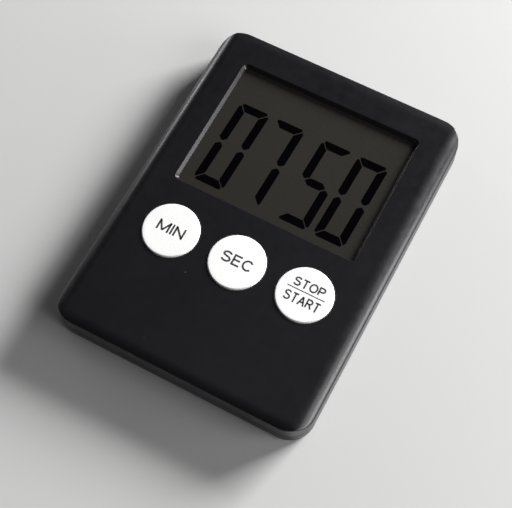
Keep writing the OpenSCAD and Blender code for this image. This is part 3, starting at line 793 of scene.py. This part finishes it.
def stroke(points, width):
    """The left and right edge of a line of even width through the points."""
    left, right = [], []
    for i, (x, y) in enumerate(points):
        last = len(points) - 1
        before = (Vector(points[max(i, 1)]) - Vector(points[max(i, 1) - 1])).normalized()
        after = (Vector(points[min(i + 1, last)]) - Vector(points[min(i, last - 1)])).normalized()
        along = (before + after).normalized()
        reach = width / 2 * min(1 / along.dot(after), 1.5)
        left.append((x - along.y * reach, y + along.x * reach))
        right.append((x + along.y * reach, y - along.x * reach))
    return left, right


def text_piece(name, words, boxes, z, width, lines=()):
    """Printed legend at height z: each word fills its box (x0, x1, y0, y1). lines are boxes of plain bars."""
    levels = (z - 0.004, z + 0.008)
    outlines = []
    for word, (x0, x1, y0, y1) in zip(words, boxes):
        length = sum(LETTERS[letter][0] for letter in word) + LETTER_GAP * (len(word) - 1)
        scale_x, scale_y = (x1 - x0 - width) / length, y1 - y0 - width
        start = x0 + width / 2
        for letter in word:
            for points in LETTERS[letter][1]:
                placed = [(start + x * scale_x, y0 + width / 2 + y * scale_y) for x, y in points]
                left, right = stroke(placed, width)
                for k in range(len(placed) - 1):
                    outlines.append((right[k], right[k + 1], left[k + 1], left[k]))
            start += (LETTERS[letter][0] + LETTER_GAP) * scale_x
    outlines += [((x0, y0), (x1, y0), (x1, y1), (x0, y1)) for x0, x1, y0, y1 in lines]
    return lofts(name, [[[(x, y, level) for x, y in outline] for level in levels] for outline in outlines])


# ---------------------------------------------------------------- display digits
def digit_shapes():
    """Seven segments of one digit about its centre, upright, as outlines."""
    half_x, half_y, thick = 3.95, 11.72, 2.0
    inner = half_x - thick
    bar = [(inner, half_y - thick - 0.02), (3.25, 11.12), (3.32, 11.42), (3.02, half_y)]
    top = bar + [(-x, y) for x, y in reversed(bar)]
    right = [(half_x, 1.15), (half_x, 10.42), (3.74, 10.88), (3.42, 10.86), (inner, 9.30), (inner, 1.15),
             (2.70, 0.45), (3.20, 0.45)]
    left = [(-x, y) for x, y in reversed(right)]
    middle = [(-2.62, 0), (-1.62, -1.0), (1.62, -1.0), (2.62, 0), (1.62, 1.0), (-1.62, 1.0)]

    def upside_down(outline):
        return [(x, -y) for x, y in reversed(outline)]

    return {"a": top, "b": right, "c": upside_down(right), "d": upside_down(top), "e": upside_down(left),
            "f": left, "g": middle}


def digits(name, shown, centres, middle_y, scale, z):
    """The dark segments of the figures shown, which lean to the right and stand either side of height z."""
    lit = {"0": "abcdef", "7": "abc", "5": "afgcd"}
    slant, half_t = 0.025, 0.03
    shapes = digit_shapes()
    segments = []
    for figure, centre in zip(shown, centres):
        for segment in lit[figure]:
            outline = [(centre + scale * (x + slant * y), middle_y + scale * y) for x, y in shapes[segment]]
            area = sum(x0 * y1 - x1 * y0 for (x0, y0), (x1, y1) in zip(outline, outline[1:] + outline[:1]))
            if area < 0:
                outline.reverse()
            segments.append([[(x, y, level) for x, y in outline] for level in (z - half_t, z + half_t)])
    return lofts(name, segments)


# ---------------------------------------------------------------- pieces of the housing
cover_plastic = LOOKS["cover_plastic"]
piece(front_shell(), cover_plastic, "housing", ["front_cover"], 30)
piece(rear_shell(), cover_plastic, "housing", ["rear_cover"], 30)


def foam_gasket():
    """A thin foam frame whose outer and inner edges bulge a little at half height."""
    bulge, beside_window = 0.03, 0.25
    middle = (0, (gasket_low.y + gasket_high.y) / 2)
    half_y = (gasket_high.y - gasket_low.y) / 2
    opening = [half - window_lean + beside_window for half in window_half]
    levels = ((bulge, gasket_low.z), (0.0, (gasket_low.z + gasket_high.z) / 2), (bulge, gasket_high.z))
    rings = [round_rect(gasket_high.x - a, half_y - a, 0.4, z, middle, 4) for a, z in levels]
    rings += [round_rect(opening[0] + a, opening[1] + a, 0.5, z, window_centre, 4)
              for a, z in reversed(levels)]
    return loft("gasket_foam", rings, closed=True)


gasket = piece(foam_gasket(), LOOKS["foam"], "housing", ["display_gasket"], 60)

digit_centres = (-15.63, -6.17, 6.46, 15.87)
digits_y, digit_scale = 13.44, 0.995
segments = digits("lcd_segments", "0750", digit_centres, digits_y, digit_scale, film_z)
piece(segments, segment_look(), "housing")

# ---------------------------------------------------------------- pieces of the keys
# For each cap: its words, the boxes they fill (x0, x1, y0, y1) about the cap's centre, the width of a
# stroke, and the box of any dividing line.
LEGENDS = {
    "min": (("MIN",), ((-3.44, 3.36, -1.2, 1.6),), 0.46, ()),
    "sec": (("SEC",), ((-3.9, 3.9, -1.2, 1.6),), 0.45, ()),
    "start_stop": (("STOP", "START"), ((-3.66, 4.04, 1.1, 3.4), (-4.26, 4.64, -2.9, -0.4)), 0.40,
                   ((-4.56, 4.74, 0.38, 0.62),)),
}
ink = ink_look()
for key in KEYS:
    body = key["name"] + "_key"
    piece(key_cap(key), LOOKS["button_plastic"], body, [key["name"] + "_button"], 30)
    words, boxes, width, lines = LEGENDS[key["name"]]
    x, y = key["centre"]
    boxes, lines = ([(x + x0, x + x1, y + y0, y + y1) for x0, x1, y0, y1 in some] for some in (boxes, lines))
    legend = text_piece(key["name"] + "_legend", words, boxes, key["top"], width, lines)
    piece(legend, ink, body)
    rubber = dome(key)
    rubber.data.materials.append(LOOKS["silicone"])
    finish_shading(rubber, 40)
    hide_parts(key["name"] + "_dome")
    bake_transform(rubber)


# ---------------------------------------------------------------- kickstand and battery door
def kickstand():
    """A thin leg with a shallow hollow on its outer side, and a barrel with two pins at its hinge."""
    half, foot_y, low, high = 13.0, -13.0, 0.1, 1.2
    centre_y, half_y = (foot_y + hinge_y) / 2, (hinge_y - foot_y) / 2
    edge, corner = 0.16, 0.8
    levels = [(edge * (1 - math.sin(a)), low + edge * (1 - math.cos(a))) for a in quarter_turn(4)]
    levels += [(inset, high + low - z) for inset, z in reversed(levels)]
    leg = loft("kickstand_leg", [round_rect(half - i, half_y - i, corner - i, z, (0, centre_y), 8)
                                 for i, z in levels])
    hollow_w, hollow_low, hollow_high, hollow_r = 9.0, foot_y + 5, hinge_y - 4, 0.6

    def hollow(off, z):
        return round_rect(hollow_w + off, (hollow_high - hollow_low) / 2 + off, hollow_r + off, z + low,
                          (0, (hollow_low + hollow_high) / 2), 6)

    barrel = [(-half, 0.5), (-half + 0.1, 0.6), (half - 0.1, 0.6), (half, 0.5)]
    return carve(leg, [
        ("add", loft("barrel", [tube_x(r, x, x, hinge_y, hinge_z, 64)[0] for x, r in barrel])),
        ("add", loft("pins", tube_x(0.5, -14.2, 14.2, hinge_y, hinge_z))),
        ("cut", loft("hollow", mouth(hollow, 0.12, 0.35))),
    ])


piece(kickstand(), cover_plastic, "stand", ["kickstand"], 30)


def battery_door():
    """A door that follows the round edge of the back, with a rail on each side and grooves for the thumb."""
    low, high = box_mm("battery_door")
    rail_w, rail_low, rail_high, rail_inset = 0.6, 0.35, 0.85, 0.35
    x0, x1 = low.x + rail_w, high.x - rail_w
    bottom_y, top_y, inside_z = low.y, high.y, high.z
    edge, round_edge = 0.12, 1.0
    section = [(bottom_y, inside_z)]
    section += [(bottom_y + round_edge * (1 - math.cos(a)), round_edge * (1 - math.sin(a)))
                for a in quarter_turn(8)]
    section += [(top_y - edge * (1 - math.sin(a)), edge * (1 - math.cos(a))) for a in quarter_turn(4)[1:]]
    section.append((top_y, inside_z))

    def ring(x, lifted):
        return [(x, y, z + lifted if z < inside_z / 2 else z) for y, z in section]

    levels = [(x0 + edge * (1 - math.cos(a)), edge * (1 - math.sin(a))) for a in quarter_turn(3)]
    levels += [(x1 + x0 - x, lifted) for x, lifted in reversed(levels)]
    grip_x, grip_y, grip_half_w, groove_w, pitch = (x0 + x1) / 2, -38, 4.0, 0.5, 1.1
    grooves = []
    for k in range(5):
        middle = (grip_x, grip_y + pitch * k + groove_w / 2)

        def groove(off, z, middle=middle):
            return round_rect(grip_half_w + off, groove_w / 2 + off, 0.2 + off, z, middle, 6)

        grooves.append(mouth(groove, 0.08, 0.3))
    return carve(loft("battery_door_plate", [ring(x, lifted) for x, lifted in levels]), [
        ("add", loft("rails", plate(low.x, high.x, bottom_y + rail_inset, top_y, rail_low, rail_high))),
        ("cut", lofts("grooves", grooves)),
    ])


piece(battery_door(), cover_plastic, "door", ["battery_door"], 30)


# ---------------------------------------------------------------- CAD nodes that stay
def keep_node(name, slot, bevel):
    """Gives a CAD node its look, and small round edges where bevel is more than zero."""
    obj = nodes[name]
    obj.data.materials.clear()
    obj.data.materials.append(LOOKS[slot])
    weld = obj.modifiers.new("weld", "WELD")
    weld.merge_threshold = 0.002 * MM
    if bevel:
        edge = obj.modifiers.new("edges", "BEVEL")
        edge.width = bevel * MM
        edge.segments = 2
        edge.limit_method = "ANGLE"
        edge.angle_limit = math.radians(35)
        edge.harden_normals = False
    weigh_normals(obj)


for name, slot, bevel in (
    ("front_polariser", "polariser", 0), ("lcd_front_glass", "display_glass", 0.05),
    ("lcd_rear_glass", "display_glass", 0.05), ("rear_reflector", "reflector", 0),
    ("display_frame", "frame_plastic", 0.1), ("zebra_strip", "conductive_rubber", 0.08),
    ("circuit_board", "board_laminate", 0.05), ("chip_blob", "epoxy", 0),
    ("quartz_crystal", "crystal_can", 0), ("chip_capacitors", "capacitor_ceramic", 0.06),
    ("chip_resistors", "resistor_ceramic", 0.05), ("buzzer_transistor", "transistor_plastic", 0.1),
    ("buzzer_coil", "coil_ferrite", 0.1), ("keypad_mat", "silicone", 0.1),
    ("min_contact_pill", "carbon", 0.05), ("sec_contact_pill", "carbon", 0.05),
    ("start_stop_contact_pill", "carbon", 0.05), ("buzzer_disc", "buzzer_brass", 0.04),
    ("buzzer_ceramic", "piezo_ceramic", 0.03), ("buzzer_adhesive_ring", "adhesive", 0),
    ("buzzer_leads", "lead_insulation", 0), ("button_cell", "cell_steel", 0.05),
    ("positive_contact", "spring_steel", 0.04), ("negative_contact", "spring_steel", 0.04),
    ("magnets", "magnet_nickel", 0.12), ("cover_screws", "screw_steel", 0.04),
    ("board_screws", "screw_steel", 0.03),
):
    keep_node(name, slot, bevel)


# ---------------------------------------------------------------- floor, light
def floor_look():
    look = Look("pale_floor", (0.56, 0.56, 0.56), 0.75, specular_ior_level=0.2)
    look.set("Base Color", look.mix(look.noise(9, 4, 0.6), (0.545, 0.543, 0.540), (0.565, 0.563, 0.560)))
    look.bump(look.noise(600, 4, 0.6), 0.05, 0.05)
    return look.material


reach, floor_z = 2500.0, -0.02
floor_corners = [(sx * reach, sy * reach, floor_z) for sx, sy in ((-1, -1), (1, -1), (1, 1), (-1, 1))]
floor = mesh_object("floor", floor_corners, [(0, 1, 2, 3)])
floor.data.materials.append(floor_look())

world = bpy.data.worlds.new("studio")
scene.world = world
world.use_nodes = True
background = world.node_tree.nodes["Background"]
background.inputs["Color"].default_value = (0.95, 0.97, 1.0, 1)
background.inputs["Strength"].default_value = 0.06


def soft_light(name, azimuth, elevation, distance, size, power):
    """A soft panel that faces the timer. Azimuth is from +X towards +Y; distance and size are in metres."""
    a, e = math.radians(azimuth), math.radians(elevation)
    away = Vector((math.cos(a) * math.cos(e), math.sin(a) * math.cos(e), math.sin(e)))
    data = bpy.data.lights.new(name, "AREA")
    data.shape = "RECTANGLE"
    data.size, data.size_y = size
    data.energy = power
    light = bpy.data.objects.new(name, data)
    light.location = Vector((0, 0, 6 * MM)) + away * distance
    light.rotation_euler = (-away).to_track_quat("-Z", "Y").to_euler()
    scene.collection.objects.link(light)


soft_light("key", 62, 18, 1.0, (0.46, 0.28), 31)
soft_light("right_low", 9, 7, 0.9, (0.62, 0.24), 5.0)
soft_light("right_high", 0, 30, 0.9, (0.66, 0.40), 3.0)
soft_light("left_strip", 149, 7, 0.9, (0.24, 0.14), 1.2)
soft_light("above", 116, 77, 0.9, (0.36, 0.36), 0.06)
scene.view_settings.view_transform = "Standard"
scene.view_settings.look = "None"
